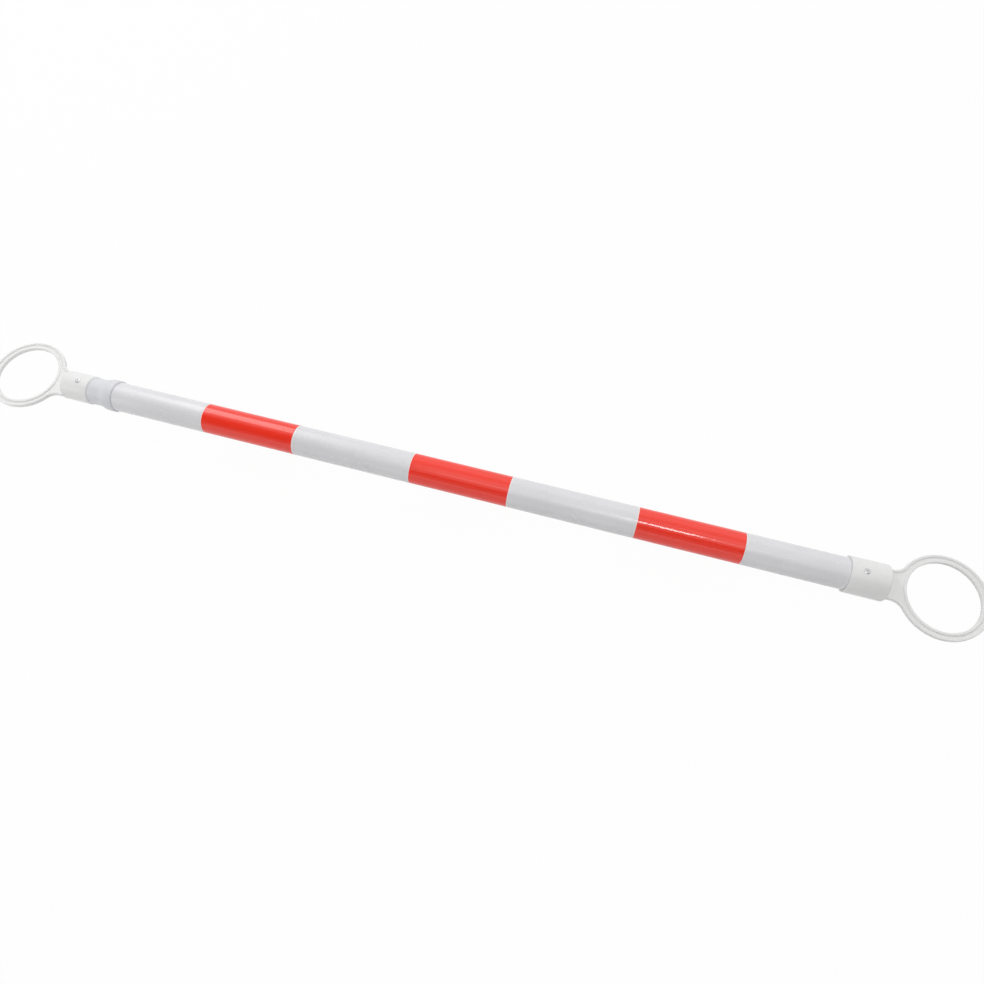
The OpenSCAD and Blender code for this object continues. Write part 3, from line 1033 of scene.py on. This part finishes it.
def add_surround(scene, strength):
    """Even light from all round, which shows as white."""
    world = bpy.data.worlds.new("Studio surround")
    tree = emptied_tree(world)
    light = add_node(tree, "ShaderNodeBackground", {"Color": WHITE, "Strength": strength})
    white = add_node(tree, "ShaderNodeBackground", {"Color": WHITE, "Strength": 1.0})
    mix = add_node(
        tree, "ShaderNodeMixShader",
        {0: seen_as_backdrop(tree), 1: light.outputs["Background"], 2: white.outputs["Background"]},
    )
    add_node(tree, "ShaderNodeOutputWorld", {"Surface": mix.outputs["Shader"]})
    scene.world = world


def add_camera(scene, studio):
    """The camera, close to the bar and high above it."""
    data = bpy.data.cameras.new("Camera")
    data.sensor_width = SENSOR_WIDTH
    data.lens = studio.camera_lens
    data.clip_start = NEAREST_SEEN
    camera = bpy.data.objects.new("Camera", data)
    sight = Vector(studio.camera_target) - Vector(studio.camera_place)
    turn = sight.to_track_quat("-Z", "Y") @ Quaternion(UPRIGHT, studio.camera_roll)
    camera.location = studio.camera_place
    camera.rotation_euler = turn.to_euler()
    scene.collection.objects.link(camera)
    scene.camera = camera


# Operators


class CONEBAR_OT_outer_tube(bpy.types.Operator):
    """Adds the white outer tube that the films are wrapped round"""

    bl_idname = "conebar.outer_tube"
    bl_label = "Outer tube"

    def execute(self, context):
        sizes = context.scene.cone_bar_sizes
        bm = plain_tube("outer_tube", sizes.outer_wall, sizes)
        add_piece(context, bm, "striped_tube", "outer_tube")
        return {"FINISHED"}


class CONEBAR_OT_films(bpy.types.Operator):
    """Adds the red and white reflective films"""

    bl_idname = "conebar.films"
    bl_label = "Reflective films"

    def execute(self, context):
        sizes = context.scene.cone_bar_sizes
        for node in sorted(name for name in SLOT_OF if "_sheet_" in name):
            add_piece(context, film_sheet(node, sizes), node.replace("sheet", "film"), node)
        return {"FINISHED"}


class CONEBAR_OT_collar(bpy.types.Operator):
    """Adds the grey collar and the guide ring at its bottom"""

    bl_idname = "conebar.collar"
    bl_label = "Collar and guide ring"

    def execute(self, context):
        sizes = context.scene.cone_bar_sizes
        ring_wall = along_bar("collar_guide_ring")[2] - sizes.collar_bore_d / 2
        add_piece(context, stepped_collar(sizes), "grey_collar", "reducing_collar")
        ring = plain_tube("collar_guide_ring", ring_wall, sizes)
        add_piece(context, ring, "guide_ring", "collar_guide_ring")
        return {"FINISHED"}


class CONEBAR_OT_ring_ends(bpy.types.Operator):
    """Adds the two moulded ring ends"""

    bl_idname = "conebar.ring_ends"
    bl_label = "Ring ends"

    def execute(self, context):
        sizes = context.scene.cone_bar_sizes
        ends = (
            ("fixed_ring", along_bar("outer_tube")[1], sizes.fixed_bevel),
            ("sliding_ring", along_bar("inner_tube")[0], sizes.sliding_bevel),
        )
        for mount, tube_end, bevel in ends:
            node = f"{mount}_end"
            bm = ring_end(node, mount, tube_end, bevel, sizes)
            add_piece(context, bm, f"{mount}_moulding", node)
        return {"FINISHED"}


class CONEBAR_OT_rivets(bpy.types.Operator):
    """Adds the rivets that hold the sockets on their tubes"""

    bl_idname = "conebar.rivets"
    bl_label = "Rivets"

    def execute(self, context):
        sizes = context.scene.cone_bar_sizes
        for node in ("fixed_end_rivets", "sliding_end_rivets"):
            add_piece(context, rivet_pair(node, sizes), node.replace("_end_", "_socket_"), node)
        return {"FINISHED"}


class CONEBAR_OT_inner_tube(bpy.types.Operator):
    """Adds the tube that draws out"""

    bl_idname = "conebar.inner_tube"
    bl_label = "Inner tube"

    def execute(self, context):
        sizes = context.scene.cone_bar_sizes
        bm = plain_tube("inner_tube", sizes.inner_wall, sizes)
        add_piece(context, bm, "drawn_tube", "inner_tube")
        return {"FINISHED"}


class CONEBAR_OT_stop(bpy.types.Operator):
    """Adds the stop plug, its guide bush and the brake ring"""

    bl_idname = "conebar.stop"
    bl_label = "Stop plug, bush and brake ring"

    def execute(self, context):
        sizes = context.scene.cone_bar_sizes
        add_piece(context, stop_plug(sizes), "stop_plug_turned", "stop_plug")
        add_piece(context, guide_bush(sizes), "bush_turned", "guide_bush")
        add_piece(context, brake_ring(), "brake_o_ring", "brake_ring")
        return {"FINISHED"}


class CONEBAR_OT_stage(bpy.types.Operator):
    """Adds the pale floor, the studio light and the camera"""

    bl_idname = "conebar.stage"
    bl_label = "Studio"

    def execute(self, context):
        scene = context.scene
        studio = scene.cone_bar_studio
        scene.view_settings.view_transform = "Standard"
        add_floor(scene.cone_bar_colours.floor, studio.floor_white)
        for card in DARK_CARDS:
            add_card(*card)
        for name, setting, place, size, target in LAMPS:
            add_lamp(name, getattr(studio, setting), place, size, target)
        add_surround(scene, studio.surround)
        add_camera(scene, studio)
        return {"FINISHED"}


OPERATORS = (
    CONEBAR_OT_outer_tube,
    CONEBAR_OT_films,
    CONEBAR_OT_collar,
    CONEBAR_OT_ring_ends,
    CONEBAR_OT_rivets,
    CONEBAR_OT_inner_tube,
    CONEBAR_OT_stop,
    CONEBAR_OT_stage,
)


class CONEBAR_PT_panel(bpy.types.Panel):
    """Lists the steps that build the cone bar, and its sizes, colours and light"""

    bl_idname = "CONEBAR_PT_panel"
    bl_label = "Cone bar"
    bl_space_type = "VIEW_3D"
    bl_region_type = "UI"
    bl_category = "Cone bar"

    def draw(self, context):
        layout = self.layout
        scene = context.scene
        for operator in OPERATORS:
            layout.operator(operator.bl_idname)
        for group in (scene.cone_bar_sizes, scene.cone_bar_colours, scene.cone_bar_studio):
            column = layout.column(align=True)
            for name in group.__annotations__:
                column.prop(group, name)


CLASSES = (ConeBarSizes, ConeBarColours, ConeBarStudio, *OPERATORS, CONEBAR_PT_panel)


def register():
    """Registers the classes and hangs the settings on the scene."""
    for cls in CLASSES:
        bpy.utils.register_class(cls)
    bpy.types.Scene.cone_bar_sizes = PointerProperty(type=ConeBarSizes)
    bpy.types.Scene.cone_bar_colours = PointerProperty(type=ConeBarColours)
    bpy.types.Scene.cone_bar_studio = PointerProperty(type=ConeBarStudio)


def unregister():
    """Takes the settings and the classes away again."""
    del bpy.types.Scene.cone_bar_studio
    del bpy.types.Scene.cone_bar_colours
    del bpy.types.Scene.cone_bar_sizes
    for cls in reversed(CLASSES):
        bpy.utils.unregister_class(cls)


def main():
    """Builds every piece and the studio."""
    register()
    bpy.ops.conebar.outer_tube()
    bpy.ops.conebar.films()
    bpy.ops.conebar.collar()
    bpy.ops.conebar.ring_ends()
    bpy.ops.conebar.rivets()
    bpy.ops.conebar.inner_tube()
    bpy.ops.conebar.stop()
    bpy.ops.conebar.stage()


if __name__ == "__main__":
    main()
